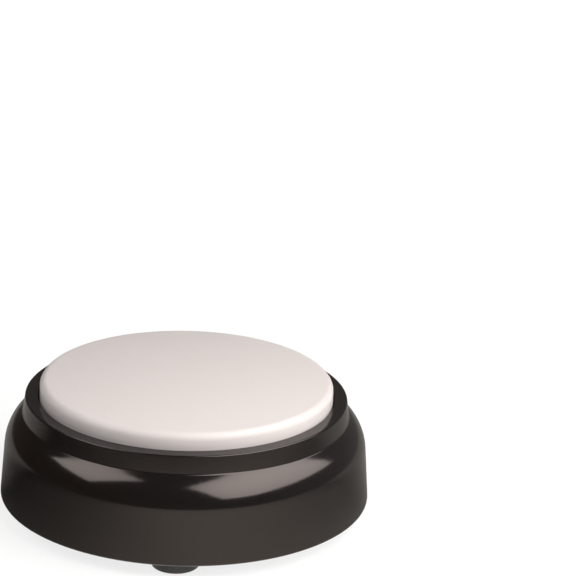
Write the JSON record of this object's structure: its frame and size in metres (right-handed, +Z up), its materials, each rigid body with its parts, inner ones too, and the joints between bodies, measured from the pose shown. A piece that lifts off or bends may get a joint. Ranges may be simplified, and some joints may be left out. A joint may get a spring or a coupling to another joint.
{
  "type": "talking clock",
  "caption": "Round talking clock: tapered black housing with a raised collar round one large white push button, battery bay, speaker and setting keys underneath.",
  "frame": {"origin": "on the table, in the middle of the circle of feet, directly under the middle of the button", "axes": "+Z up through the button, -Y towards the front foot, +X to the right; the battery door's hinge is on the -X side"},
  "size_m": [0.0968, 0.0968, 0.0353],
  "materials": {
    "housing_black": "glossy moulded black ABS",
    "button_white": "glossy white ABS",
    "cover_black": "fine textured black ABS",
    "foot_rubber": "smooth black rubber",
    "key_grey": "satin grey plastic",
    "silicone": "translucent grey silicone rubber",
    "board_green": "green solder mask",
    "epoxy_black": "black epoxy drop",
    "screw_steel": "zinc plated steel",
    "spring_steel": "bright spring wire",
    "contact_nickel": "nickel plated spring steel",
    "cell_jacket": "printed sleeve in one plain colour",
    "speaker_steel": "pressed steel",
    "magnet": "dark ferrite",
    "cone_paper": "black cone paper",
    "gasket_foam": "black foam",
    "strip_brown": "hard paper terminal strip",
    "coil_copper": "enamelled copper winding",
    "lead_red": "red insulation",
    "lead_black": "black insulation",
    "can_silver": "bright can",
    "can_sleeve": "dark blue sleeve",
    "chip_black": "black chip body"
  },
  "bodies": {
    "case": {"top_housing": "housing_black", "main_dome": "silicone", "base_cover": "cover_black", "case_screws": "screw_steel", "battery_cell_1": "cell_jacket", "battery_cell_2": "cell_jacket", "battery_bridge": "contact_nickel", "positive_contact": "contact_nickel", "negative_contact": "contact_nickel", "speaker_gasket": "gasket_foam", "speaker_frame": "speaker_steel", "speaker_magnet": "magnet", "speaker_yoke": "speaker_steel", "speaker_cone": "cone_paper", "speaker_voice_coil": "coil_copper", "speaker_dust_cap": "cone_paper", "speaker_strip": "strip_brown", "speaker_clamp": "speaker_steel", "clamp_screws": "screw_steel", "speaker_lead_1": "lead_black", "speaker_lead_2": "lead_red", "circuit_board": "board_green", "board_screws": "screw_steel", "voice_chip": "epoxy_black", "crystal": "can_silver", "capacitor": "can_sleeve", "resistors": "chip_black", "transistors": "chip_black", "return_spring_1": "spring_steel", "return_spring_2": "spring_steel", "return_spring_3": "spring_steel", "front_foot": "foot_rubber", "right_foot": "foot_rubber", "rear_foot": "foot_rubber", "left_foot": "foot_rubber", "set_dome_1": "silicone", "set_dome_2": "silicone", "set_dome_3": "silicone", "set_dome_4": "silicone"},
    "button": {"button_cap": "button_white", "button_washers": "screw_steel", "button_screws": "screw_steel"},
    "battery_door": {"battery_door": "cover_black"},
    "set_key_1": {"set_key_1": "key_grey"},
    "set_key_2": {"set_key_2": "key_grey"},
    "set_key_3": {"set_key_3": "key_grey"},
    "set_key_4": {"set_key_4": "key_grey"}
  },
  "joints": [
    {"name": "button_press", "type": "slide", "parent": "case", "child": "button", "axis": [0, 0, -1], "range_m": [0, 0.0018], "stiffness_N_per_m": 1500, "springref_m": -0.0014, "deforming": ["return_spring_1", "return_spring_2", "return_spring_3", "main_dome"]},
    {"name": "battery_door_hinge", "type": "hinge", "parent": "case", "child": "battery_door", "pos_m": [-0.0273, 0.01365, 0.0049], "axis": [0, 1, 0], "range_deg": [0, 60]},
    {"name": "set_key_1_press", "type": "slide", "parent": "case", "child": "set_key_1", "axis": [0, 0, 1], "range_m": [0, 0.0008], "stiffness_N_per_m": 900, "springref_m": -0.0004, "deforming": ["set_dome_1"]},
    {"name": "set_key_2_press", "type": "slide", "parent": "case", "child": "set_key_2", "axis": [0, 0, 1], "range_m": [0, 0.0008], "stiffness_N_per_m": 900, "springref_m": -0.0004, "deforming": ["set_dome_2"]},
    {"name": "set_key_3_press", "type": "slide", "parent": "case", "child": "set_key_3", "axis": [0, 0, 1], "range_m": [0, 0.0008], "stiffness_N_per_m": 900, "springref_m": -0.0004, "deforming": ["set_dome_3"]},
    {"name": "set_key_4_press", "type": "slide", "parent": "case", "child": "set_key_4", "axis": [0, 0, 1], "range_m": [0, 0.0008], "stiffness_N_per_m": 900, "springref_m": -0.0004, "deforming": ["set_dome_4"]}
  ]
}
